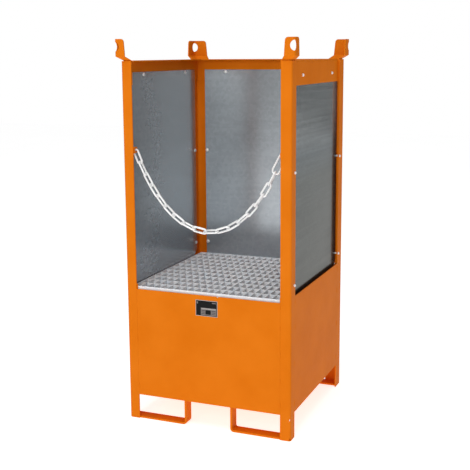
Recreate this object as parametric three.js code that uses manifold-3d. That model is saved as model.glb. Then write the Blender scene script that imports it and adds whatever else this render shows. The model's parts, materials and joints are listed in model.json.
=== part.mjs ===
// Stackable spill-containment station for one drum: four angle posts welded to a sump tank on
// fork loops, a lift-out grating, three bolted sheet walls and a safety chain across the front.
// Millimetres, +Z up, front towards -Y. The origin is on the floor under the middle of the station.
import * as THREE from 'three';
import { mergeVertices } from 'three/addons/utils/BufferGeometryUtils.js';
import Module from 'manifold-3d';

// ---- driving dimensions ----
const WIDTH = 730;                 // over the post faces, along X
const DEPTH = 734;                 // over the post faces, along Y
const POST_HEIGHT = 1520;
const STEEL = 5;                   // wall of the posts and of the stacking lugs
const FOLD_R = 9;                  // outer rounding of a folded corner
// Widths of a post's two flanges (flangeX on the front or rear, flangeY on the side), and how far
// from the corner the wall's bolts pass through them.
const FRONT_POST = { flangeX: 45, flangeY: 52, boltAt: 38 };
const REAR_POST = { flangeX: 70, flangeY: 70, boltAt: 61 };
const GAP = 0.3;                   // air kept between pieces that touch

const TANK_BOTTOM = 108;
const TANK_FRONT_TOP = 574;
const TANK_TOP = 595;
const TANK_SHEET = 3;

const STRAP = { thick: 8, width: 50, legX: 100, bend: 15 };
const GRATING = { height: 35, halfX: 341.5, frontY: -357, rearY: 348.5, bar: 5, columns: 6, rows: 6 };
const GRATING_TOP = 585;
const LEDGE = { reach: 45, thick: 5, endGap: 30, backingGap: 10 };

const RAIL = { bottom: 1424, top: 1522, thick: 4, inward: 40, bend: 9 };
const PANEL = { thick: 2, frontEdge: 32, rearEdge: 53, bottom: 580, top: 1474, bevel: 33 };
const BOLT = { shank: 8, head: 8, headHeight: 5, nut: 6.5, nutHeight: 4, tail: 2, hole: 8.6 };
const BOLT_HOLE_REACH = 25;        // a hole's cutter goes this far to both sides of a wall
const SIDE_BOLT_Z = [642, 1091];
const TOP_BOLT = { z: 1463, offset: 205 };

const LUG = { bottom: 1424, top: 1608, jog: 23.3, jogHeight: 16, holeZ: 1577, holeR: 20.5, topR: 12, taper: 0.1 };
const DRAIN = { heights: [8, 90], radius: 5 };

const EYE = { thick: 4, x: 320, hole: 8.5, z: 1155, reach: 31, height: 26 };
const CHAIN_Y = -DEPTH / 2 + 22;
const CHAIN = { links: 17, pitch: 52, wire: 8, halfWidth: 10, slack: 0.5, sway: 0.45 };
const HOOK = { length: 72, wire: 8, topR: 11, bottomR: 15, gateFrom: 18, gateTo: 53, gateWire: 7 };

const LABEL = { x: 1.5, z: 521, width: 97, height: 67, thick: 1 };
const NOTCH = { x: 50, radius: 4.5 };

// ---- derived places ----
const HALF_X = WIDTH / 2;
const HALF_Y = DEPTH / 2;
const INSET = STEEL + GAP;                          // from a post's outer face to what lies behind it
const RAIL_FACE = INSET + STEEL + GAP;              // to a rail's outer face, behind the lugs
const PANEL_FACE = RAIL_FACE + RAIL.thick + GAP;    // to a panel's outer face, behind the rails
const X = new THREE.Vector3(1, 0, 0);
const Y = new THREE.Vector3(0, 1, 0);
const Z = new THREE.Vector3(0, 0, 1);
const MINUS_Y = new THREE.Vector3(0, -1, 0);

// ---- materials ----
const finish = (color, roughness, metalness) => new THREE.MeshStandardMaterial({ color, roughness, metalness });
const ORANGE = finish(0xe37e1d, 0.45, 0);
const GALVANISED = finish(0x868c90, 0.42, 0.8);
const GRATING_ZINC = finish(0xb6bec4, 0.45, 0.8);
const BRIGHT_ZINC = finish(0xe2e4e4, 0.25, 0.9);
const LABEL_BLACK = finish(0x151515, 0.5, 0);

// ---- solids ----
const wasm = await Module();
wasm.setup();

function solid(geometry) {
  const bare = geometry.clone();
  bare.deleteAttribute('normal');
  bare.deleteAttribute('uv');
  const merged = mergeVertices(bare, 1e-4);
  return new wasm.Manifold(new wasm.Mesh({
    numProp: 3,
    vertProperties: new Float32Array(merged.attributes.position.array),
    triVerts: new Uint32Array(merged.index.array),
  }));
}

function geometryOf(manifold) {
  const mesh = manifold.getMesh();
  const geometry = new THREE.BufferGeometry();
  geometry.setAttribute('position', new THREE.BufferAttribute(new Float32Array(mesh.vertProperties), 3));
  geometry.setIndex(new THREE.BufferAttribute(new Uint32Array(mesh.triVerts), 1));
  return geometry;
}

function cut(geometry, tools) {
  const left = tools.reduce((body, tool) => body.subtract(solid(tool)), solid(geometry));
  return geometryOf(left);
}

function join(geometry, others) {
  const whole = others.reduce((body, other) => body.add(solid(other)), solid(geometry));
  return geometryOf(whole);
}

// The same shape in another corner: a flip along one axis also turns its faces over.
function inCorner(geometry, signX, signY) {
  const flipped = geometry.index ? geometry.clone() : mergeVertices(geometry);
  flipped.applyMatrix4(new THREE.Matrix4().makeScale(signX, signY, 1));
  if (signX * signY < 0) {
    const index = flipped.index.array;
    for (let i = 0; i < index.length; i += 3) {
      [index[i], index[i + 1]] = [index[i + 1], index[i]];
    }
  }
  return flipped;
}

function box(low, high) {
  const size = high.map((value, axis) => value - low[axis]);
  const centre = high.map((value, axis) => (value + low[axis]) / 2);
  return new THREE.BoxGeometry(...size).translate(...centre);
}

// A rod from one point to another.
function rod(from, to, radius, sides) {
  const along = to.clone().sub(from);
  const geometry = new THREE.CylinderGeometry(radius, radius, along.length(), sides);
  geometry.applyQuaternion(new THREE.Quaternion().setFromUnitVectors(Y, along.clone().normalize()));
  return geometry.translate(...from.clone().add(to).multiplyScalar(0.5).toArray());
}

// An outline in the plane of two directions, given a thickness along the third.
function extruded(shape, depth, across, up, along, start) {
  const geometry = new THREE.ExtrudeGeometry(shape, { depth, bevelEnabled: false, curveSegments: 4 });
  geometry.applyMatrix4(new THREE.Matrix4().makeBasis(across, up, along));
  return geometry.translate(...start);
}

function outline(points) {
  return new THREE.Shape(points.map(([x, y]) => new THREE.Vector2(x, y)));
}

const station = new THREE.Group();

function add(name, geometry, material) {
  const mesh = new THREE.Mesh(geometry, material);
  mesh.name = name;
  station.add(mesh);
  return mesh;
}

const CORNERS = [
  { end: 'front', side: 'left', signX: -1, signY: -1, ...FRONT_POST },
  { end: 'front', side: 'right', signX: 1, signY: -1, ...FRONT_POST },
  { end: 'rear', side: 'left', signX: -1, signY: 1, ...REAR_POST },
  { end: 'rear', side: 'right', signX: 1, signY: 1, ...REAR_POST },
];

// ---- posts: angle section, rounded at the corner fold, from the floor to the full height ----
function angleSection(legX, legY, thick, outerR) {
  const section = new THREE.Shape();
  section.moveTo(-legX, 0);
  section.lineTo(-outerR, 0);
  section.absarc(-outerR, -outerR, outerR, Math.PI / 2, 0, true);
  section.lineTo(0, -legY);
  section.lineTo(-thick, -legY);
  section.lineTo(-thick, -thick);
  section.lineTo(-legX, -thick);
  return section;
}

// A round hole punched in the flat sheet before it is folded: half of it lies in each flange.
function throughFold(z, radius, sides) {
  const length = 120;
  const hole = new THREE.CylinderGeometry(radius, radius, length, sides);
  return hole.scale(Math.SQRT1_2, 1, 1).rotateZ(-Math.PI / 4).translate(HALF_X, HALF_Y, z);
}

function boltHole(x, y, z, direction) {
  const reach = direction.clone().multiplyScalar(BOLT_HOLE_REACH);
  const centre = new THREE.Vector3(x, y, z);
  return rod(centre.clone().sub(reach), centre.clone().add(reach), BOLT.hole / 2, 8);
}

for (const { end, side, signX, signY, flangeX, flangeY, boltAt } of CORNERS) {
  const section = angleSection(flangeX, flangeY, STEEL, FOLD_R);
  const post = extruded(section, POST_HEIGHT, X, Y, Z, [HALF_X, HALF_Y, 0]);
  const holes = DRAIN.heights.map((z) => throughFold(z, DRAIN.radius, 8));
  for (const z of SIDE_BOLT_Z) {
    holes.push(boltHole(HALF_X, HALF_Y - boltAt, z, X));
    if (end === 'rear') holes.push(boltHole(HALF_X - boltAt, HALF_Y, z, Y));
  }
  add(`post_${end}_${side}`, inCorner(cut(post, holes), signX, signY), ORANGE);
}

// ---- stacking lugs: angle plates nested in the post tops, joggled outward over them ----
function lug(legX, legY) {
  const { bottom, top, jog, jogHeight, topR, taper } = LUG;
  const jogFrom = POST_HEIGHT + 2;
  const levels = [bottom, jogFrom, jogFrom + jogHeight, top - topR, top - topR / 2, top - topR / 8, top];
  const section = angleSection(legX - INSET, legY - INSET, STEEL, FOLD_R);
  const geometry = new THREE.ExtrudeGeometry(section, {
    depth: levels.length - 1, steps: levels.length - 1, bevelEnabled: false, curveSegments: 4,
  });
  const fold = -1.5 * FOLD_R;                        // only the legs' free edges move, which lie beyond this
  const straight = top - jogFrom - jogHeight;
  const places = geometry.attributes.position;
  for (let i = 0; i < places.count; i += 1) {
    const z = levels[Math.round(places.getZ(i))];
    const risen = THREE.MathUtils.clamp((z - jogFrom) / jogHeight, 0, 1);
    const up = THREE.MathUtils.clamp((z - jogFrom - jogHeight) / straight, 0, 1);
    const intoRound = Math.max(0, z - (top - topR));
    const rounding = topR - Math.sqrt(topR ** 2 - intoRound ** 2);
    const moved = (value, leg) => (value < fold
      ? value - INSET * risen + leg * taper * up + rounding
      : value);
    places.setXYZ(
      i, moved(places.getX(i), legX) + jog * risen, moved(places.getY(i), legY) + jog * risen, z,
    );
  }
  geometry.translate(HALF_X - INSET, HALF_Y - INSET, 0);
  return cut(geometry, [throughFold(LUG.holeZ, LUG.holeR, 16)]);
}

for (const { end, side, signX, signY, flangeX, flangeY } of CORNERS) {
  add(`stacking_lug_${end}_${side}`, inCorner(lug(flangeX, flangeY), signX, signY), ORANGE);
}

// ---- fork loops: flat bar from the foot of each post, along the floor and up to the tank ----
function forkLoop() {
  const { thick, legX, bend, width } = STRAP;
  const end = HALF_X - INSET;
  const inner = bend - thick;
  const path = new THREE.Shape();
  path.moveTo(end, 0);
  path.lineTo(legX + bend, 0);
  path.absarc(legX + bend, bend, bend, -Math.PI / 2, -Math.PI, true);
  path.lineTo(legX, TANK_BOTTOM - GAP);
  path.lineTo(legX + thick, TANK_BOTTOM - GAP);
  path.lineTo(legX + thick, bend);
  path.absarc(legX + bend, bend, inner, Math.PI, Math.PI * 1.5, false);
  path.lineTo(end, thick);
  return extruded(path, width, X, Z, MINUS_Y, [0, HALF_Y - INSET, 0]);
}

for (const { end, side, signX, signY } of CORNERS) {
  add(`fork_loop_${end}_${side}`, inCorner(forkLoop(), signX, signY), ORANGE);
}

// ---- sump tank: flush with the posts between them, stepped in behind their flanges ----
function tankOutline(inward) {
  const points = [];
  for (const { signX, signY, flangeX, flangeY } of [CORNERS[3], CORNERS[2], CORNERS[0], CORNERS[1]]) {
    const stepX = HALF_X - flangeX - GAP - inward;
    const stepY = HALF_Y - flangeY - GAP - inward;
    const flushX = HALF_X - inward;
    const flushY = HALF_Y - inward;
    const corner = [
      [flushX, stepY], [flushX - INSET, stepY], [flushX - INSET, flushY - INSET],
      [stepX, flushY - INSET], [stepX, flushY],
    ].map(([x, y]) => [x * signX, y * signY]);
    points.push(...(signX * signY > 0 ? corner : corner.reverse()));
  }
  return outline(points);
}

function sumpTank() {
  const shell = extruded(tankOutline(0), TANK_TOP - TANK_BOTTOM, X, Y, Z, [0, 0, TANK_BOTTOM]);
  const inside = extruded(tankOutline(TANK_SHEET), TANK_TOP, X, Y, Z, [0, 0, TANK_BOTTOM + TANK_SHEET]);
  const opening = HALF_X - FRONT_POST.flangeX - GAP;
  const front = box([-opening, -HALF_Y - 1, TANK_FRONT_TOP], [opening, -HALF_Y + INSET, TANK_TOP + 1]);
  const notch = rod(
    new THREE.Vector3(NOTCH.x, -HALF_Y - 2, TANK_FRONT_TOP),
    new THREE.Vector3(NOTCH.x, -HALF_Y + INSET, TANK_FRONT_TOP), NOTCH.radius, 10,
  );
  const top = GRATING_TOP - GRATING.height - GAP;
  const ledges = [-1, 1].map((sign) => {
    const edges = [sign * (HALF_X - LEDGE.reach), sign * (HALF_X - INSET - 1)].sort((a, b) => a - b);
    const reach = HALF_Y - LEDGE.endGap;
    return box([edges[0], -reach, top - LEDGE.thick], [edges[1], reach, top]);
  });
  const backing = [-1, 1].map((sign) => {
    const edges = [sign * (HALF_X - INSET - 1), sign * (HALF_X - 1)].sort((a, b) => a - b);
    const reach = HALF_Y - REAR_POST.flangeY - LEDGE.backingGap;
    return box([edges[0], -reach, top - LEDGE.thick], [edges[1], reach, top]);
  });
  return join(cut(shell, [inside, front, notch]), [...ledges, ...backing]);
}

add('sump_tank', sumpTank(), ORANGE);

// ---- grating: a frame of flat bars with bars both ways, resting on the tank's ledges ----
function grating() {
  const { halfX, frontY, rearY, bar, columns, rows, height } = GRATING;
  const low = GRATING_TOP - height;
  const pitchX = (2 * halfX - bar) / columns;
  const pitchY = (rearY - frontY - bar) / rows;
  const cells = [];
  for (let column = 0; column < columns; column += 1) {
    for (let row = 0; row < rows; row += 1) {
      const left = -halfX + bar + column * pitchX;
      const near = frontY + bar + row * pitchY;
      cells.push(box([left, near, low - 1], [left + pitchX - bar, near + pitchY - bar, GRATING_TOP + 1]));
    }
  }
  return cut(box([-halfX, frontY, low], [halfX, rearY, GRATING_TOP]), cells);
}

add('grating', grating(), GRATING_ZINC);

// ---- top rails: angle profiles with a rounded top edge, inside the lugs, mitred at the rear corners ----
function railSection(outerFace) {
  const { bottom, top, thick, inward, bend } = RAIL;
  const inner = bend - thick;
  const section = new THREE.Shape();
  section.moveTo(outerFace, bottom);
  section.lineTo(outerFace, top - bend);
  section.absarc(outerFace - bend, top - bend, bend, 0, Math.PI / 2, false);
  section.lineTo(outerFace - inward, top);
  section.lineTo(outerFace - inward, top - thick);
  section.lineTo(outerFace - bend, top - thick);
  section.absarc(outerFace - bend, top - bend, inner, Math.PI / 2, 0, true);
  section.lineTo(outerFace - thick, bottom);
  return section;
}

const railX = HALF_X - RAIL_FACE;
const railY = HALF_Y - RAIL_FACE;

// What a mitre takes off at the rear right corner, given the two sides of the joint's diagonal.
function mitre(points) {
  const height = RAIL.top - RAIL.bottom + 2;
  return extruded(outline(points), height, X, Y, Z, [railX, railY, RAIL.bottom - 1]);
}

const mitreReach = RAIL.inward + 10;
const sideMitre = mitre([[1, 1 - GAP], [1, 5], [-mitreReach, 5], [-mitreReach, -mitreReach - GAP]]);
const rearMitre = mitre([[1 - GAP, 1], [-mitreReach - GAP, -mitreReach], [5, -mitreReach], [5, 1]]);

const sideTopHoles = [-1, 1].map((sign) => boltHole(HALF_X, sign * TOP_BOLT.offset, TOP_BOLT.z, X));
const rearTopHoles = [-1, 1].map((sign) => boltHole(sign * TOP_BOLT.offset, HALF_Y, TOP_BOLT.z, Y));
const sideRail = cut(
  extruded(railSection(railX), 2 * railY, X, Z, MINUS_Y, [0, railY, 0]),
  [sideMitre, ...sideTopHoles],
);
add('rail_left', inCorner(sideRail, -1, 1), ORANGE);
add('rail_right', sideRail, ORANGE);
add('rail_rear', cut(
  extruded(railSection(railY), 2 * railX, Y, Z, X, [-railX, 0, 0]),
  [rearMitre, inCorner(rearMitre, -1, 1), ...rearTopHoles],
), ORANGE);

// ---- wall panels: galvanised sheets inside the posts; the side ones have their lower corners cut off ----
const SIDE_BOLT_AT = [-HALF_Y + FRONT_POST.boltAt, HALF_Y - REAR_POST.boltAt];    // along Y
const REAR_BOLT_AT = [-HALF_X + REAR_POST.boltAt, HALF_X - REAR_POST.boltAt];     // along X

function sidePanelOutline() {
  const { bottom, top, bevel, frontEdge, rearEdge } = PANEL;
  const front = -HALF_Y + frontEdge;
  const rear = HALF_Y - rearEdge;
  return outline([
    [front + bevel, bottom], [rear - bevel, bottom], [rear, bottom + bevel],
    [rear, top], [front, top], [front, bottom + bevel],
  ]);
}

function panelHoles(boltAt, place, direction) {
  const spots = SIDE_BOLT_Z.flatMap((z) => boltAt.map((offset) => [offset, z]));
  spots.push([-TOP_BOLT.offset, TOP_BOLT.z], [TOP_BOLT.offset, TOP_BOLT.z]);
  return spots.map(([offset, z]) => boltHole(...place(offset), z, direction));
}

const sidePanel = cut(
  extruded(sidePanelOutline(), PANEL.thick, Y, Z, X, [HALF_X - PANEL_FACE - PANEL.thick, 0, 0]),
  panelHoles(SIDE_BOLT_AT, (offset) => [HALF_X, offset], X),
);
const rearReach = HALF_X - PANEL.rearEdge;
const rearFace = HALF_Y - PANEL_FACE;
add('wall_panel_left', inCorner(sidePanel, -1, 1), GALVANISED);
add('wall_panel_right', sidePanel, GALVANISED);
add('wall_panel_rear', cut(
  box([-rearReach, rearFace - PANEL.thick, PANEL.bottom], [rearReach, rearFace, PANEL.top]),
  panelHoles(REAR_BOLT_AT, (offset) => [offset, HALF_Y], Y),
), GALVANISED);

// ---- panel bolts: domed head inside the station, nut outside ----
// The bolt lies along its own Y axis with the head's flat underside at the origin, head towards +Y.
function bolt(grip) {
  const { shank, head, headHeight, nut, nutHeight, tail } = BOLT;
  const end = -grip - nutHeight - tail;
  const profile = [
    [0, end], [shank / 2, end], [shank / 2, 0], [head, 0], [head * 0.7, headHeight * 0.8], [0, headHeight],
  ].map(([radius, along]) => new THREE.Vector2(radius, along));
  const screw = new THREE.LatheGeometry(profile, 8);
  const hex = new THREE.CylinderGeometry(nut, nut, nutHeight, 6).translate(0, -grip - nutHeight / 2, 0);
  return join(screw, [hex]);
}

// inwards points from outside the station to inside it
function addBolt(name, x, y, z, inwards, grip) {
  const mesh = add(name, bolt(grip), BRIGHT_ZINC);
  mesh.quaternion.setFromUnitVectors(Y, inwards);
  mesh.position.set(x, y, z);
}

const headPlane = PANEL_FACE + PANEL.thick + GAP;   // from a post's outer face to the bolt head
const WALLS = [
  { wall: 'left', ends: SIDE_BOLT_AT, inwards: X, at: (offset) => [-HALF_X + headPlane, offset] },
  { wall: 'right', ends: SIDE_BOLT_AT, inwards: X.clone().negate(), at: (offset) => [HALF_X - headPlane, offset] },
  { wall: 'rear', ends: REAR_BOLT_AT, inwards: MINUS_Y, at: (offset) => [offset, HALF_Y - headPlane] },
];

for (const { wall, ends, inwards, at } of WALLS) {
  for (const sign of [-1, 1]) {
    const place = sign < 0 ? 'a' : 'b';
    SIDE_BOLT_Z.forEach((z, row) => {
      const [x, y] = at(ends[sign < 0 ? 0 : 1]);
      addBolt(`bolt_${wall}_${row ? 'middle' : 'lower'}_${place}`, x, y, z, inwards, headPlane + GAP);
    });
    const [x, y] = at(sign * TOP_BOLT.offset);
    addBolt(`bolt_${wall}_top_${place}`, x, y, TOP_BOLT.z, inwards, headPlane - RAIL_FACE + GAP);
  }
}

// ---- chain eyes: small plates standing back from the front flanges ----
function chainEye() {
  const { thick, hole, z, reach, height } = EYE;
  const back = -HALF_Y + INSET;
  const middle = z + CHAIN.wire / 2;
  const plate = new THREE.Shape();
  const roundR = height / 2;
  plate.moveTo(back, middle - roundR);
  plate.lineTo(back + reach - roundR, middle - roundR);
  plate.absarc(back + reach - roundR, middle, roundR, -Math.PI / 2, Math.PI / 2, false);
  plate.lineTo(back, middle + roundR);
  const blank = extruded(plate, thick, Y, Z, X, [EYE.x - thick / 2, 0, 0]);
  const ends = [-1, 1].map((sign) => new THREE.Vector3(EYE.x + sign * thick, CHAIN_Y, middle));
  return cut(blank, [rod(ends[0], ends[1], hole, 12)]);
}

add('chain_eye_right', chainEye(), ORANGE);
add('chain_eye_left', inCorner(chainEye(), -1, 1), ORANGE);

// ---- safety chain: links along a catenary between the eyes, ending in a snap hook ----
const chainLength = CHAIN.links * CHAIN.pitch + HOOK.length;

function catenaryParameter() {
  let low = 20;
  let high = 2000;
  for (let i = 0; i < 60; i += 1) {
    const guess = (low + high) / 2;
    if (2 * guess * Math.sinh(EYE.x / guess) > chainLength) low = guess;
    else high = guess;
  }
  return low;
}

const sagRadius = catenaryParameter();

// A point of the catenary at a length measured from the left eye.
function hanging(length) {
  const fromMiddle = length - chainLength / 2;
  const x = sagRadius * Math.asinh(fromMiddle / sagRadius);
  const drop = sagRadius * (Math.cosh(EYE.x / sagRadius) - Math.cosh(x / sagRadius));
  return new THREE.Vector3(x, CHAIN_Y, EYE.z - drop);
}

// A round-wire link lying along its own X axis, flat in its own XZ plane.
function link() {
  const half = CHAIN.pitch / 2 + CHAIN.wire / 2 + CHAIN.slack - CHAIN.halfWidth;
  const geometry = new THREE.TorusGeometry(CHAIN.halfWidth, CHAIN.wire / 2, 6, 10).rotateX(Math.PI / 2);
  const places = geometry.attributes.position;
  for (let i = 0; i < places.count; i += 1) {
    places.setX(i, places.getX(i) + Math.sign(places.getX(i)) * half);
  }
  return geometryOf(solid(geometry));
}

// Neighbouring links stand at right angles. The chain as a whole sways to one side and back along its
// first half, and lies with a quarter twist along its second.
function roll(index) {
  const twist = THREE.MathUtils.smoothstep(index, 6, 15);
  const swayed = THREE.MathUtils.smoothstep(index, 0, 4) - THREE.MathUtils.smoothstep(index, 4, 9);
  return (Math.PI / 2) * (index + twist) + CHAIN.sway * swayed;
}

for (let index = 0; index < CHAIN.links; index += 1) {
  const from = hanging(index * CHAIN.pitch);
  const to = hanging((index + 1) * CHAIN.pitch);
  const along = to.clone().sub(from).normalize();
  const across = new THREE.Vector3().crossVectors(along, Y);
  const mesh = add(`chain_link_${String(index + 1).padStart(2, '0')}`, link(), BRIGHT_ZINC);
  mesh.quaternion.setFromRotationMatrix(new THREE.Matrix4().makeBasis(along, Y, across));
  mesh.rotateX(roll(index));
  mesh.position.copy(from.add(to).multiplyScalar(0.5));
}

// Snap hook: a pear-shaped wire, narrow end in the right eye, wide end in the last link.
// Its own X axis runs up the hook from the last link, its own Y axis points to the gate's side.
const HOOK_PATH = (() => {
  const { length, wire, topR, bottomR, gateFrom, gateTo } = HOOK;
  const lower = bottomR - wire / 2 - CHAIN.slack;
  const upper = length + wire / 2 + CHAIN.slack - topR;
  const points = [];
  const point = (along, side) => points.push(new THREE.Vector3(along, side, 0));
  point(gateFrom - 2, bottomR);
  for (let turn = 0; turn <= 6; turn += 1) {
    const angle = Math.PI / 2 + (turn * Math.PI) / 6;
    point(lower + bottomR * Math.cos(angle), bottomR * Math.sin(angle));
  }
  for (let turn = 0; turn <= 6; turn += 1) {
    const angle = -Math.PI / 2 + (turn * Math.PI) / 6;
    point(upper + topR * Math.cos(angle), topR * Math.sin(angle));
  }
  point(gateTo + 2, topR + 0.6);
  return points;
})();

function circle(radius, sides) {
  const ring = new THREE.Shape();
  for (let i = 0; i < sides; i += 1) {
    const angle = (2 * Math.PI * i) / sides;
    const move = i ? 'lineTo' : 'moveTo';
    ring[move](radius * Math.cos(angle), radius * Math.sin(angle));
  }
  return ring;
}

function hookBody() {
  const path = new THREE.CatmullRomCurve3(HOOK_PATH, false, 'centripetal');
  return new THREE.ExtrudeGeometry(circle(HOOK.wire / 2, 6), { steps: 26, extrudePath: path, bevelEnabled: false });
}

function hookGate() {
  const foot = new THREE.Vector3(HOOK.gateFrom, HOOK.bottomR - 0.2, 0);
  const tip = new THREE.Vector3(HOOK.gateTo, HOOK.topR + 0.8, 0);
  return rod(foot, tip, HOOK.gateWire / 2, 8);
}

const hookFoot = hanging(CHAIN.links * CHAIN.pitch);
const hookTop = hanging(chainLength);
const upHook = hookTop.clone().sub(hookFoot).normalize();
const gateSide = new THREE.Vector3().crossVectors(Y, upHook);
const hook = new THREE.Group();
hook.quaternion.setFromRotationMatrix(
  new THREE.Matrix4().makeBasis(upHook, gateSide, new THREE.Vector3().crossVectors(upHook, gateSide)),
);
hook.position.copy(hookFoot);
station.add(hook);
for (const [name, geometry] of [['snap_hook', hookBody()], ['snap_hook_gate', hookGate()]]) {
  hook.add(add(name, geometry, BRIGHT_ZINC));
}

// ---- label plate on the tank front ----
const labelFace = -HALF_Y - GAP;
add('label_plate', box(
  [LABEL.x - LABEL.width / 2, labelFace - LABEL.thick, LABEL.z - LABEL.height / 2],
  [LABEL.x + LABEL.width / 2, labelFace, LABEL.z + LABEL.height / 2],
), LABEL_BLACK);

export default station;
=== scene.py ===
"""The spill-containment station's looks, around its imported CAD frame. Metres, +Z up, front to -Y."""
import json
import math

import bmesh
import bpy
from mathutils import Matrix, Vector


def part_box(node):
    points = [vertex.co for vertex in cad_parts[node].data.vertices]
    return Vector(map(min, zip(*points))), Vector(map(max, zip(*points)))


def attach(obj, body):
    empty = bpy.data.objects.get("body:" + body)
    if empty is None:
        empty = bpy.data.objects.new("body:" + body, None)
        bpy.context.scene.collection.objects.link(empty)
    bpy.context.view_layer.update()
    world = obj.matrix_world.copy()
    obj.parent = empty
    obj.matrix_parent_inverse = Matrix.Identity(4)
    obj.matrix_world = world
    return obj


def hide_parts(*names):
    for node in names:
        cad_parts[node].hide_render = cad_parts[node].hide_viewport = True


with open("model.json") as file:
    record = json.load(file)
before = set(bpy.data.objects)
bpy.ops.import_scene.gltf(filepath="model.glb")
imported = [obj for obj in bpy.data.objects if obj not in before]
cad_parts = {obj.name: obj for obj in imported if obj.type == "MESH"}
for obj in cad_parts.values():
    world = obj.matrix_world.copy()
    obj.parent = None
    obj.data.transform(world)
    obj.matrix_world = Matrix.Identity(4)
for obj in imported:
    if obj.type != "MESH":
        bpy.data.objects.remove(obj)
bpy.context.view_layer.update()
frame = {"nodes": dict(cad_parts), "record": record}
nodes = frame["nodes"]
MM = 0.001

# ---- camera: the front, from the right and a little above ----
CAMERA_PLACE = Vector((1.4754, -3.6830, 1.5475))
CAMERA_YAW = math.radians(22.09)
CAMERA_PITCH = math.radians(9.99)
CAMERA_ROLL = math.radians(-0.35)
CAMERA_LENS = 70.21
CAMERA_SHIFT_Y = -0.0426
CAMERA_SENSOR = 36
CAMERA_REACH = 60


def make_camera():
    camera = bpy.data.objects.new("camera", bpy.data.cameras.new("camera"))
    bpy.context.scene.collection.objects.link(camera)
    turn = (
        Matrix.Rotation(CAMERA_YAW, 4, "Z")
        @ Matrix.Rotation(math.pi / 2 - CAMERA_PITCH, 4, "X")
        @ Matrix.Rotation(CAMERA_ROLL, 4, "Z")
    )
    camera.matrix_world = Matrix.Translation(CAMERA_PLACE) @ turn
    camera.data.lens = CAMERA_LENS
    camera.data.sensor_width = CAMERA_SENSOR
    camera.data.shift_y = CAMERA_SHIFT_Y
    camera.data.clip_end = CAMERA_REACH
    bpy.context.scene.camera = camera


# ---- lights ----
WORLD_LIGHT = 0.34
WORLD_RAMP = [(0.0, (0.62, 0.64, 0.66, 1)), (0.5, (1, 1, 1, 1))]    # by height: horizon, overhead
LIT_POINT = (0, 0, 0.8)
KEY_LIGHT = {"place": (0.4, -5.6, 2.6), "size": (4.0, 3.0), "power": 99, "color": (1, 0.985, 0.96)}
TOP_LIGHT = {"place": (0, -1.4, 5.0), "size": (3.0, 3.0), "power": 70, "color": (1, 1, 1)}


def area_light(name, place, size, power, color):
    light = bpy.data.lights.new(name, "AREA")
    light.shape = "RECTANGLE"
    light.size, light.size_y = size
    light.energy = power
    light.color = color
    lamp = bpy.data.objects.new(name, light)
    bpy.context.scene.collection.objects.link(lamp)
    lamp.location = place
    lamp.rotation_euler = (Vector(LIT_POINT) - Vector(place)).to_track_quat("-Z", "Y").to_euler()


def make_world():
    """An even studio: darker near the horizon than overhead, and plain white where the camera sees it."""
    world = bpy.data.worlds.new("studio")
    bpy.context.scene.world = world
    world.use_nodes = True
    tree = world.node_tree
    light = tree.nodes["Background"]
    light.inputs["Strength"].default_value = WORLD_LIGHT
    height = tree.nodes.new("ShaderNodeSeparateXYZ")
    tree.links.new(tree.nodes.new("ShaderNodeTexCoord").outputs["Generated"], height.inputs[0])
    ramp = tree.nodes.new("ShaderNodeValToRGB")
    for element, (position, color) in zip(ramp.color_ramp.elements, WORLD_RAMP):
        element.position = position
        element.color = color
    tree.links.new(height.outputs["Z"], ramp.inputs["Fac"])
    tree.links.new(ramp.outputs["Color"], light.inputs["Color"])
    white = tree.nodes.new("ShaderNodeBackground")
    white.inputs["Color"].default_value = (1, 1, 1, 1)
    mix = tree.nodes.new("ShaderNodeMixShader")
    tree.links.new(tree.nodes.new("ShaderNodeLightPath").outputs["Is Camera Ray"], mix.inputs["Fac"])
    tree.links.new(light.outputs["Background"], mix.inputs[1])
    tree.links.new(white.outputs["Background"], mix.inputs[2])
    tree.links.new(mix.outputs["Shader"], tree.nodes["World Output"].inputs["Surface"])


def make_lights():
    area_light("key", **KEY_LIGHT)
    area_light("top", **TOP_LIGHT)
    bpy.context.scene.view_settings.view_transform = "Standard"


# ---- materials ----
MIX_COLOR_A, MIX_COLOR_B, MIX_COLOR_RESULT = 6, 7, 2    # the mix node's sockets when it mixes colours
# heights between which the sheets' painted shade ramp runs
SHEET_LOW_Z = 0.58
SHEET_HIGH_Z = 1.48


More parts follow.
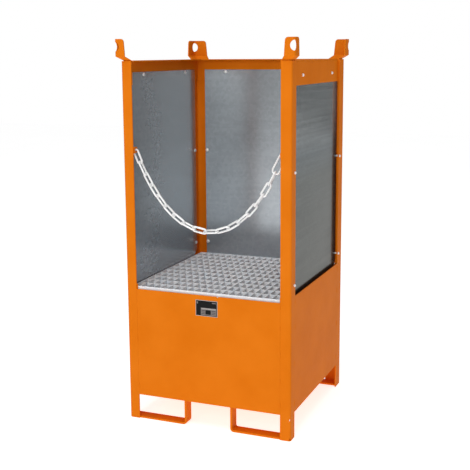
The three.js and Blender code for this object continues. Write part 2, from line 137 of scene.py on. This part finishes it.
class Material:
    """A node material with short calls for the nodes that its look is made of."""

    def __init__(self, name, roughness, metallic):
        self.material = bpy.data.materials.new(name)
        self.material.use_nodes = True
        self.tree = self.material.node_tree
        self.shader = self.tree.nodes["Principled BSDF"]
        self.shader.inputs["Roughness"].default_value = roughness
        self.shader.inputs["Metallic"].default_value = metallic
        self.place = self.tree.nodes.new("ShaderNodeTexCoord").outputs["Object"]

    def add(self, kind, **settings):
        node = self.tree.nodes.new(kind)
        for key, value in settings.items():
            setattr(node, key, value)
        return node

    def link(self, source, target):
        self.tree.links.new(source, target)

    def noise(self, scale, detail=4.0, stretch=(1, 1, 1)):
        mapping = self.add("ShaderNodeMapping")
        mapping.inputs["Scale"].default_value = stretch
        noise = self.add("ShaderNodeTexNoise")
        noise.inputs["Scale"].default_value = scale
        noise.inputs["Detail"].default_value = detail
        self.link(self.place, mapping.inputs["Vector"])
        self.link(mapping.outputs["Vector"], noise.inputs["Vector"])
        return noise.outputs["Fac"]

    def spangle(self, scale):
        cells = self.add("ShaderNodeTexVoronoi")
        cells.inputs["Scale"].default_value = scale
        self.link(self.place, cells.inputs["Vector"])
        grey = self.add("ShaderNodeRGBToBW")
        self.link(cells.outputs["Color"], grey.inputs["Color"])
        return grey.outputs["Val"]

    def ramp(self, factor, stops):
        ramp = self.add("ShaderNodeValToRGB")
        elements = ramp.color_ramp.elements
        while len(elements) < len(stops):
            elements.new(0.5)
        for element, (position, color) in zip(elements, stops):
            element.position = position
            element.color = (*color, 1)
        self.link(factor, ramp.inputs["Fac"])
        return ramp.outputs["Color"]

    def mix(self, factor, first, second, mode="MIX"):
        mix = self.add("ShaderNodeMix", data_type="RGBA", blend_type=mode)
        if isinstance(factor, float):
            mix.inputs["Factor"].default_value = factor
        else:
            self.link(factor, mix.inputs["Factor"])
        self.link(first, mix.inputs[MIX_COLOR_A])
        if isinstance(second, tuple):
            mix.inputs[MIX_COLOR_B].default_value = (*second, 1)
        else:
            self.link(second, mix.inputs[MIX_COLOR_B])
        return mix.outputs[MIX_COLOR_RESULT]

    def roughness_between(self, factor, low, high):
        span = self.add("ShaderNodeMapRange")
        span.inputs["To Min"].default_value = low
        span.inputs["To Max"].default_value = high
        self.link(factor, span.inputs["Value"])
        self.link(span.outputs["Result"], self.shader.inputs["Roughness"])

    def bump(self, height, strength, distance):
        bump = self.add("ShaderNodeBump")
        bump.inputs["Strength"].default_value = strength
        bump.inputs["Distance"].default_value = distance
        self.link(height, bump.inputs["Height"])
        self.link(bump.outputs["Normal"], self.shader.inputs["Normal"])

    def color(self, socket):
        self.link(socket, self.shader.inputs["Base Color"])


def srgb(code):
    channels = [int(code[i:i + 2], 16) / 255 for i in (0, 2, 4)]
    return tuple(c / 12.92 if c <= 0.04045 else ((c + 0.055) / 1.055) ** 2.4 for c in channels)


def orange_paint():
    """Powder coat: fine orange peel, faint cloudy variation and a little dust."""
    paint = Material("orange_powder_coat", 0.4, 0.0)
    base = paint.ramp(paint.noise(6, 5), [(0.3, srgb("d8700e")), (0.7, srgb("e07816"))])
    dust = paint.ramp(paint.noise(150, 6), [(0.62, (0, 0, 0)), (0.75, (0.1, 0.1, 0.1))])
    paint.color(paint.mix(dust, base, srgb("b9855a")))
    paint.roughness_between(paint.noise(35, 3), 0.38, 0.5)
    paint.bump(paint.noise(700, 2), 0.14, 0.0004)
    paint.shader.inputs["Specular IOR Level"].default_value = 0.015
    return paint.material


def galvanised_sheet(name, low, high, streak_dark, height_shade, glance):
    """Zinc-coated sheet: faint small spangle, long horizontal rolling streaks, cloudy dullness and painted
    shade by height.

    low and high are the spangle's two tones, streak_dark the tone of the streaks, height_shade a ramp of
    painted shade and painted reflection from the sheet's bottom to its top, and glance how much the sheet
    shines at a flat angle.
    """
    zinc = Material(name, 0.2, 0.7)
    zinc.shader.inputs["Specular IOR Level"].default_value = 0.5 * glance
    zinc.shader.inputs["Specular Tint"].default_value = (glance, glance, glance, 1)
    spangle = zinc.ramp(zinc.spangle(75), [(0.2, srgb(low)), (0.8, srgb(high))])
    streaks = zinc.noise(3, 7, (1, 0.5, 26))
    shade = zinc.ramp(streaks, [(0.38, (streak_dark,) * 3), (0.62, (1, 1, 1))])
    marks = zinc.ramp(zinc.noise(1.7, 4), [(0.3, (0.92, 0.92, 0.93)), (0.7, (1, 1, 1))])
    worn = zinc.mix(1.0, zinc.mix(1.0, spangle, shade, "MULTIPLY"), marks, "MULTIPLY")
    height = zinc.add("ShaderNodeSeparateXYZ")
    zinc.link(zinc.place, height.inputs[0])
    span = zinc.add("ShaderNodeMapRange")
    span.inputs["From Min"].default_value = SHEET_LOW_Z
    span.inputs["From Max"].default_value = SHEET_HIGH_Z
    zinc.link(height.outputs["Z"], span.inputs["Value"])
    # painted shade and painted reflection: a colour ramp by height, multiplied into the sheet's colour
    painted_height_shade = zinc.ramp(span.outputs["Result"], height_shade)
    zinc.color(zinc.mix(1.0, worn, painted_height_shade, "MULTIPLY"))
    zinc.roughness_between(zinc.noise(5, 5), 0.15, 0.24)
    zinc.bump(streaks, 0.05, 0.001)
    return zinc.material


def galvanised_grating():
    """Hot-dip zinc: paler and duller than sheet, finely mottled and slightly rough."""
    zinc = Material("galvanised_grating", 0.45, 0.04)
    zinc.color(zinc.ramp(zinc.noise(60, 5), [(0.3, srgb("e9f2fb")), (0.7, srgb("ffffff"))]))
    zinc.roughness_between(zinc.noise(110, 4), 0.32, 0.55)
    zinc.bump(zinc.noise(420, 4), 0.25, 0.0006)
    return zinc.material


def bright_zinc():
    """Bright zinc plating on the chain and the bolts: pale, shiny, with faint handling marks."""
    zinc = Material("bright_zinc", 0.3, 0.35)
    zinc.color(zinc.ramp(zinc.noise(60, 4), [(0.3, srgb("eff1f2")), (0.7, srgb("ffffff"))]))
    zinc.roughness_between(zinc.noise(100, 4), 0.24, 0.36)
    zinc.bump(zinc.noise(300, 3), 0.06, 0.0003)
    return zinc.material


def printed(name, code):
    """A printed label field: matt ink with a little speckle."""
    ink = Material(name, 0.5, 0.0)
    ink.shader.inputs["Specular IOR Level"].default_value = 0.15
    color = srgb(code)
    lighter = tuple(min(1, c * 1.18 + 0.004) for c in color)
    ink.color(ink.ramp(ink.noise(700, 3), [(0.35, color), (0.65, lighter)]))
    ink.roughness_between(ink.noise(80, 3), 0.42, 0.58)
    return ink.material


def floor_paint():
    floor = Material("studio_floor", 0.85, 0.0)
    floor.color(floor.ramp(floor.noise(1.5, 3), [(0.3, (0.86, 0.86, 0.86)), (0.7, (0.89, 0.89, 0.89))]))
    floor.shader.inputs["Emission Color"].default_value = (1, 1, 1, 1)
    floor.shader.inputs["Emission Strength"].default_value = 0.7
    return floor.material


ORANGE = orange_paint()
# the plain sheet darkens slightly towards its top: painted shade under the rails
SHEET = galvanised_sheet(
    "galvanised_sheet", "b6bdc2", "bfc6cb", 0.95, [(0, (1, 1, 1)), (1, (0.93, 0.92, 0.91))], 1.0,
)
# a darker copy of the sheet for the right outer panel: painted shade, darkest low down, a painted bluish
# reflection band above the middle, and full tone near the top
SHADED_SHEET = galvanised_sheet(
    "galvanised_sheet_shaded", "a4a9a9", "b2b7b7", 0.78,
    [(0, (0.26, 0.25, 0.22)), (0.5, (0.33, 0.34, 0.32)), (0.62, (0.36, 0.4, 0.42)), (0.8, (1, 1, 1))], 0.62,
)
GRATING = galvanised_grating()
ZINC = bright_zinc()
BLACK = printed("label_black", "050506")
GREY = printed("label_grey", "76706f")
LIGHT = printed("label_light", "a9a6a2")
SLOT_MATERIAL = {
    "orange_paint": ORANGE, "galvanised_sheet": SHEET, "galvanised_grating": GRATING,
    "bright_zinc": ZINC, "label": BLACK,
}


# ---- mesh helpers ----
def new_piece(name, mesh, materials, body, replaced):
    """A visible piece that rides a body and takes the place of the CAD nodes named in replaced."""
    piece = bpy.data.objects.new(name, mesh)
    bpy.context.scene.collection.objects.link(piece)
    for material in materials:
        mesh.materials.append(material)
    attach(piece, body)
    if replaced:
        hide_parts(*replaced)
    return piece


def mesh_from(bm, name, smooth=True):
    bmesh.ops.recalc_face_normals(bm, faces=bm.faces)
    mesh = bpy.data.meshes.new(name)
    bm.to_mesh(mesh)
    bm.free()
    for polygon in mesh.polygons:
        polygon.use_smooth = smooth
    return mesh


SHARP_ANGLE = math.radians(35)
BEVEL_ANGLE = math.radians(40)


def sharpen(mesh):
    """Smooth shading with the real edges kept crisp."""
    mesh.shade_smooth()
    mesh.set_sharp_from_angle(angle=SHARP_ANGLE)


def bevel(piece, width, segments=2):
    rounding = piece.modifiers.new("edge_rounding", "BEVEL")
    rounding.width = width
    rounding.segments = segments
    rounding.limit_method = "ANGLE"
    rounding.angle_limit = BEVEL_ANGLE
    rounding.harden_normals = True


def add_box(bm, low, high):
    made = bmesh.ops.create_cube(bm, size=1)["verts"]
    size = Vector(high) - Vector(low)
    centre = (Vector(high) + Vector(low)) / 2
    for vert in made:
        vert.co = Vector((vert.co.x * size.x, vert.co.y * size.y, vert.co.z * size.z)) + centre
    return made


def ring_tube(bm, points, normals_out, radius, sides, closed):
    """A round wire along points; normals_out are directions across the wire, one for each point."""
    rings = []
    count = len(points)
    for i, point in enumerate(points):
        before = points[i - 1] if closed or i else points[i]
        after = points[(i + 1) % count] if closed or i < count - 1 else points[i]
        along = (after - before).normalized()
        across = normals_out[i] - along * normals_out[i].dot(along)
        across.normalize()
        up = along.cross(across)
        rings.append([
            bm.verts.new(point + radius * (math.cos(a) * across + math.sin(a) * up))
            for a in (2 * math.pi * k / sides for k in range(sides))
        ])
    last = count if closed else count - 1
    for i in range(last):
        one, two = rings[i], rings[(i + 1) % count]
        for k in range(sides):
            bm.faces.new((one[k], one[(k + 1) % sides], two[(k + 1) % sides], two[k]))
    if not closed:
        bm.faces.new(rings[0])
        bm.faces.new(rings[-1])


# ---- carried-over CAD nodes ----
STEEL_EDGE = 0.7 * MM
slot_of = {part["node"]: part["material_slot"] for part in frame["record"]["subparts"]}
for node_name, node in nodes.items():
    node.data.materials.clear()
    node.data.materials.append(SLOT_MATERIAL[slot_of[node_name]])
    sharpen(node.data)
    if slot_of[node_name] == "orange_paint":
        bevel(node, STEEL_EDGE)
# the right outer panel takes the darker sheet copy with painted shade and painted reflection
nodes["wall_panel_right"].data.materials[0] = SHADED_SHEET


# ---- chain ----
LINKS = 17
PITCH = 52 * MM
HOOK_LENGTH = 72 * MM
WIRE = 8 * MM
LINK_HALF_WIDTH = 10 * MM
SLACK = 0.5 * MM
EYE_X = 0.320
CHAIN_Y = sum(corner.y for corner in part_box("chain_link_09")) / 2
EYE_Z = 1.155
CHAIN_SWAY = 0.45
ARC_STEPS = 14
STRAIGHT_STEPS = 6
WIRE_SIDES = 14
UPSET_REACH = 5 * MM      # of a link's weld, to both sides along the wire
UPSET = 0.1               # how much thicker the wire is at the weld
CHAIN_LENGTH = LINKS * PITCH + HOOK_LENGTH


def sag_radius():
    low, high = 0.02, 2.0
    for _ in range(60):
        guess = (low + high) / 2
        if 2 * guess * math.sinh(EYE_X / guess) > CHAIN_LENGTH:
            low = guess
        else:
            high = guess
    return low


SAG_RADIUS = sag_radius()


def hanging(length):
    """A point of the chain's catenary, at a length from its left eye."""
    x = SAG_RADIUS * math.asinh((length - CHAIN_LENGTH / 2) / SAG_RADIUS)
    drop = SAG_RADIUS * (math.cosh(EYE_X / SAG_RADIUS) - math.cosh(x / SAG_RADIUS))
    return Vector((x, CHAIN_Y, EYE_Z - drop))


def smoothstep(value, low, high):
    t = min(1, max(0, (value - low) / (high - low)))
    return t * t * (3 - 2 * t)


def link_roll(index):
    """Neighbours stand at right angles; the chain sways to one side and back, then takes a quarter twist."""
    swayed = smoothstep(index, 0, 4) - smoothstep(index, 4, 9)
    return math.pi / 2 * (index + smoothstep(index, 6, 15)) + CHAIN_SWAY * swayed


def make_link(index):
    """A long link bent from round wire, with the small weld upset of its butt joint on one side."""
    start, end = hanging(index * PITCH), hanging((index + 1) * PITCH)
    along = (end - start).normalized()
    across = Matrix.Rotation(link_roll(index), 3, along) @ along.cross(Vector((0, 1, 0)))
    centre = (start + end) / 2
    half = PITCH / 2 + WIRE / 2 + SLACK - LINK_HALF_WIDTH
    points, outward = [], []
    for end_sign in (1, -1):
        for k in range(ARC_STEPS + 1):
            angle = math.pi / 2 - math.pi * k / ARC_STEPS
            direction = end_sign * (math.cos(angle) * along + math.sin(angle) * across)
            points.append(centre + end_sign * half * along + LINK_HALF_WIDTH * direction)
            outward.append(direction)
        side = -end_sign * across
        for k in range(1, STRAIGHT_STEPS):
            t = 1 - 2 * k / STRAIGHT_STEPS
            points.append(centre + end_sign * half * t * along + LINK_HALF_WIDTH * side)
            outward.append(side)
    bm = bmesh.new()
    ring_tube(bm, points, outward, WIRE / 2, WIRE_SIDES, closed=True)
    weld_at = centre - LINK_HALF_WIDTH * across
    for vert in bm.verts:
        away = abs((vert.co - weld_at).dot(along))
        near = (vert.co - centre).dot(across) < 0
        if near and away < UPSET_REACH:
            spine = weld_at + along * (vert.co - weld_at).dot(along)
            vert.co = spine + (vert.co - spine) * (1 + UPSET * (1 - away / UPSET_REACH))
    name = f"chain_link_{index + 1:02d}"
    new_piece(f"link_{index + 1:02d}", mesh_from(bm, name), [ZINC], "chain", [name])


# ---- snap hook ----
HOOK_TOP_R = 11 * MM
HOOK_BOTTOM_R = 15 * MM
HOOK_WIRE = 8 * MM
GATE_FROM = 18 * MM
GATE_TO = 53 * MM
GATE_WIRE_R = 3.4 * MM
GATE_PIN_R = 1.3 * MM
GATE_PIN_HALF = 4.4 * MM
GATE_PIN_AT = (0.12, 0.92)    # shares of the gate's length
GATE_STEPS = 12
HOOK_STEPS = 16
HOOK_SIDES = 16


def hook_frame():
    """The hook's foot in the last link, the direction up the hook, and the direction to its gate's side."""
    foot, top = hanging(LINKS * PITCH), hanging(CHAIN_LENGTH)
    up = (top - foot).normalized()
    gate_side = Vector((0, 1, 0)).cross(up)
    return foot, up, gate_side


def make_hook():
    foot, up, side = hook_frame()
    lower = HOOK_BOTTOM_R - HOOK_WIRE / 2 - SLACK
    upper = HOOK_LENGTH + HOOK_WIRE / 2 + SLACK - HOOK_TOP_R

    def place(along, across):
        return foot + up * along + side * across

    path = [place(GATE_FROM - 2 * MM, HOOK_BOTTOM_R)]
    for k in range(HOOK_STEPS + 1):
        angle = math.pi / 2 + math.pi * k / HOOK_STEPS
        path.append(place(lower + HOOK_BOTTOM_R * math.cos(angle), HOOK_BOTTOM_R * math.sin(angle)))
    for k in range(1, STRAIGHT_STEPS):
        t = k / STRAIGHT_STEPS
        path.append(place(lower + (upper - lower) * t, -HOOK_BOTTOM_R + (HOOK_BOTTOM_R - HOOK_TOP_R) * t))
    for k in range(HOOK_STEPS + 1):
        angle = -math.pi / 2 + math.pi * k / HOOK_STEPS
        path.append(place(upper + HOOK_TOP_R * math.cos(angle), HOOK_TOP_R * math.sin(angle)))
    path.append(place(GATE_TO + 2 * MM, HOOK_TOP_R + 0.6 * MM))
    bm = bmesh.new()
    ring_tube(bm, path, [Vector((0, 1, 0))] * len(path), HOOK_WIRE / 2, HOOK_SIDES, closed=False)
    new_piece("hook", mesh_from(bm, "hook"), [ZINC], "chain", ["snap_hook"])


def make_gate():
    foot, up, side = hook_frame()
    start = foot + up * GATE_FROM + side * (HOOK_BOTTOM_R - 0.2 * MM)
    end = foot + up * GATE_TO + side * (HOOK_TOP_R + 0.8 * MM)
    bm = bmesh.new()
    path = [start.lerp(end, k / GATE_STEPS) for k in range(GATE_STEPS + 1)]
    ring_tube(bm, path, [Vector((0, 1, 0))] * len(path), GATE_WIRE_R, HOOK_SIDES, closed=False)
    for share in GATE_PIN_AT:
        middle = start.lerp(end, share)
        pin = [middle + Vector((0, y, 0)) for y in (-GATE_PIN_HALF, GATE_PIN_HALF)]
        ring_tube(bm, pin, [up, up], GATE_PIN_R, 10, closed=False)
    new_piece("hook_gate", mesh_from(bm, "hook_gate"), [ZINC], "gate", ["snap_hook_gate"])


# ---- grating ----
COLUMNS = 22
ROWS = 11
BAR = 4.2 * MM
EDGE_BAR = 5 * MM
CROSS_HEIGHT = 20 * MM
BAR_RECESS = 0.4 * MM    # of bars below the top of what they meet


def make_grating():
    """An edge frame, bearing bars from front to rear and shallower cross bars between them."""
    low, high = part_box("grating")
    bm = bmesh.new()
    for x in (low.x, high.x - EDGE_BAR):
        add_box(bm, (x, low.y, low.z), (x + EDGE_BAR, high.y, high.z))
    for y in (low.y, high.y - EDGE_BAR):
        add_box(bm, (low.x + EDGE_BAR, y, low.z), (high.x - EDGE_BAR, y + EDGE_BAR, high.z))
    pitch_x = (high.x - low.x - EDGE_BAR) / COLUMNS
    pitch_y = (high.y - low.y - EDGE_BAR) / ROWS
    inner_low = low.y + EDGE_BAR
    inner_high = high.y - EDGE_BAR
    for column in range(1, COLUMNS):
        x = low.x + EDGE_BAR / 2 + column * pitch_x
        add_box(bm, (x - BAR / 2, inner_low, low.z + BAR_RECESS), (x + BAR / 2, inner_high, high.z))
    for row in range(1, ROWS):
        y = low.y + EDGE_BAR / 2 + row * pitch_y
        for column in range(COLUMNS):
            left = low.x + EDGE_BAR / 2 + column * pitch_x + BAR / 2
            right = left + pitch_x - BAR
            add_box(bm, (left, y - BAR / 2, high.z - CROSS_HEIGHT), (right, y + BAR / 2, high.z - BAR_RECESS))
    piece = new_piece("grating_bars", mesh_from(bm, "grating_bars", smooth=False), [GRATING],
                      "grating", ["grating"])
    bevel(piece, 0.5 * MM, 1)


# ---- bolts ----
def lathe(bm, centre, axis, profile, sides):
    """A solid of revolution: profile holds (radius, distance along axis) from one end to the other."""
    across = axis.orthogonal().normalized()
    up = axis.cross(across)
    rings = []
    for radius, along in profile:
        spine = centre + axis * along
        if radius == 0:
            rings.append([bm.verts.new(spine)])
            continue
        rings.append([
            bm.verts.new(spine + radius * (math.cos(a) * across + math.sin(a) * up))
            for a in (2 * math.pi * k / sides for k in range(sides))
        ])
    for one, two in zip(rings, rings[1:]):
        for k in range(sides):
            after = (k + 1) % sides
            corners = [one[k % len(one)], one[after % len(one)], two[after % len(two)], two[k % len(two)]]
            unique = list(dict.fromkeys(corners))
            bm.faces.new(unique)


INWARDS = {"left": Vector((1, 0, 0)), "right": Vector((-1, 0, 0)), "rear": Vector((0, -1, 0))}
HEAD_R = 8 * MM
HEAD_HEIGHT = 5 * MM
NUT_R = 6.5 * MM
NUT_HEIGHT = 4 * MM
BOLT_TAIL = 2 * MM
SHANK_R = 4 * MM
THREAD_CHAMFER = 0.8 * MM
HEAD_RIM = 1.2 * MM
NUT_CHAMFER = 1 * MM
DOME_STEPS = 8
BOLT_SIDES = 24


def make_bolt(name):
    """A domed-head bolt: its head inside the station, its nut and thread end outside."""
    inwards = INWARDS[name.split("_")[1]]
    low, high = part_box(name)
    centre = (low + high) / 2
    half = abs((high - low).dot(inwards)) / 2
    tip = centre + inwards * half
    length = 2 * half
    head = -HEAD_HEIGHT
    dome = [
        (HEAD_R * math.cos(a), head + HEAD_RIM + (HEAD_HEIGHT - HEAD_RIM) * math.sin(a))
        for a in (math.pi / 2 * k / DOME_STEPS for k in range(DOME_STEPS))
    ]
    nut_top = -length + BOLT_TAIL + NUT_HEIGHT
    nut_low = -length + BOLT_TAIL
    bm = bmesh.new()
    lathe(bm, tip, inwards, [
        (0, -length), (SHANK_R - THREAD_CHAMFER, -length), (SHANK_R, -length + THREAD_CHAMFER),
        (SHANK_R, head), (HEAD_R, head), *dome, (0, 0),
    ], BOLT_SIDES)
    lathe(bm, tip, inwards, [
        (0, nut_top), (NUT_R, nut_top), (NUT_R, nut_low + NUT_CHAMFER), (NUT_R - NUT_CHAMFER, nut_low),
        (0, nut_low),
    ], 6)
    mesh = mesh_from(bm, name)
    sharpen(mesh)
    new_piece("shown_" + name, mesh, [ZINC], "frame", [name])


# ---- label ----
LABEL_INKS = [BLACK, GREY, LIGHT]
LABEL_RELIEF = 0.2 * MM
LABEL_STEP = 0.04 * MM
# layer, ink, then left, bottom, right and top as shares of the plate
LABEL_FIELDS = [
    (0, LIGHT, 0, 0, 1, 1),
    (1, BLACK, 0.02, 0.03, 0.98, 0.97),
    (2, GREY, 0.24, 0.07, 0.95, 0.53),
    (3, BLACK, 0.45, 0.12, 0.7, 0.4),
    *[(3, BLACK, 0.27, 0.14 + 0.1 * row, 0.42, 0.17 + 0.1 * row) for row in range(3)],
    *[(3, BLACK, 0.73, 0.14 + 0.1 * row, 0.92, 0.17 + 0.1 * row) for row in range(3)],
    (3, LIGHT, 0.27, 0.45, 0.92, 0.49),
    (2, GREY, 0.76, 0.83, 0.93, 0.89),
    (2, GREY, 0.05, 0.76, 0.11, 0.9),
]


def make_label():
    """A plain printed plate: pale border, black field, grey blocks with no marks on them."""
    low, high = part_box("label_plate")
    width, height = high.x - low.x, high.z - low.z
    bm = bmesh.new()

    for layer, ink, left, bottom, right, top in LABEL_FIELDS:
        verts = add_box(
            bm,
            (low.x + left * width, low.y + LABEL_RELIEF - LABEL_STEP * layer, low.z + bottom * height),
            (low.x + right * width, high.y, low.z + top * height),
        )
        for face in {face for vert in verts for face in vert.link_faces}:
            face.material_index = LABEL_INKS.index(ink)
    new_piece("label", mesh_from(bm, "label", smooth=False), LABEL_INKS,
              "frame", ["label_plate"])


# ---- weld beads ----
BEAD_RIPPLE = 2.4 * MM
BEAD_SIDES = 8
BEAD_SINK = 0.2 * MM
STITCH = 26 * MM
STITCH_R = 1.6 * MM
EYE_BEAD_R = 1.8 * MM
EYE_BEAD_SINK = 0.3 * MM
LOOP_BEAD_R = 2 * MM
BEAD_END = 2 * MM         # left free at each end of a short joint
LOOP_THICK = 8 * MM
FRONT_STITCH_Z = (0.135, 0.235, 0.345, 0.455, 0.545)
SIDE_STITCH_Z = (0.135, 0.3, 0.455, 0.56)


def add_bead(bm, start, end, radius):
    """A rippled weld bead along a straight joint, half sunk in the steel, with tapered ends."""
    start, end = Vector(start), Vector(end)
    length = (end - start).length
    along = (end - start) / length
    across = along.orthogonal().normalized()
    up = along.cross(across)
    steps = max(6, round(length / BEAD_RIPPLE * 2))
    rings = []
    for i in range(steps + 1):
        taper = math.sqrt(max(0.05, min(1, i / 3, (steps - i) / 3)))
        wide = radius * taper * (1.12 if i % 2 else 0.9)
        spine = start + along * (length * i / steps)
        rings.append([
            bm.verts.new(spine + wide * (math.cos(a) * across + math.sin(a) * up))
            for a in (2 * math.pi * k / BEAD_SIDES for k in range(BEAD_SIDES))
        ])
    for one, two in zip(rings, rings[1:]):
        for k in range(BEAD_SIDES):
            bm.faces.new((one[k], one[(k + 1) % BEAD_SIDES], two[(k + 1) % BEAD_SIDES], two[k]))
    bm.faces.new(rings[0])
    bm.faces.new(rings[-1])


def make_welds():
    """Stitches where the tank meets the posts, and beads at the fork loops' tops and the chain eyes."""
    bm = bmesh.new()
    tank_low, tank_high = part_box("sump_tank")
    _, front_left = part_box("post_front_left")
    _, front_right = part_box("post_front_right")
    rear_right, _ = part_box("post_rear_right")

    def stitches(x, y, heights):
        for z in heights:
            add_bead(bm, (x, y, z), (x, y, z + STITCH), STITCH_R)

    for sign in (-1, 1):
        stitches(-sign * front_left.x, tank_low.y + BEAD_SINK, FRONT_STITCH_Z)
    for sign in (-1, 1):
        for y in (front_right.y, rear_right.y):
            stitches(sign * (tank_high.x - BEAD_SINK), y, SIDE_STITCH_Z)
    for sign in (-1, 1):
        stitches(sign * rear_right.x, tank_high.y, SIDE_STITCH_Z)
    for end in ("front", "rear"):
        for side in ("left", "right"):
            low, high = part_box(f"fork_loop_{end}_{side}")
            inner = low.x if side == "right" else high.x
            step = LOOP_THICK if side == "right" else -LOOP_THICK
            for x in (inner, inner + step):
                add_bead(bm, (x, low.y + BEAD_END, high.z), (x, high.y - BEAD_END, high.z), LOOP_BEAD_R)
    for side in ("left", "right"):
        low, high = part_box(f"chain_eye_{side}")
        y = low.y + EYE_BEAD_SINK
        for x in (low.x, high.x):
            add_bead(bm, (x, y, low.z + BEAD_END), (x, y, high.z - BEAD_END), EYE_BEAD_R)
    new_piece("weld_beads", mesh_from(bm, "weld_beads"), [ORANGE], "frame", [])


# ---- floor ----
FLOOR_HALF = 14


def make_floor():
    bm = bmesh.new()
    bmesh.ops.create_grid(bm, x_segments=8, y_segments=8, size=FLOOR_HALF)
    mesh = mesh_from(bm, "floor")
    floor = bpy.data.objects.new("floor", mesh)
    bpy.context.scene.collection.objects.link(floor)
    mesh.materials.append(floor_paint())


make_camera()
make_world()
make_lights()
make_floor()
for link_index in range(LINKS):
    make_link(link_index)
make_hook()
make_gate()
make_grating()
for bolt_name in sorted(name for name in nodes if name.startswith("bolt_")):
    make_bolt(bolt_name)
make_label()
make_welds()
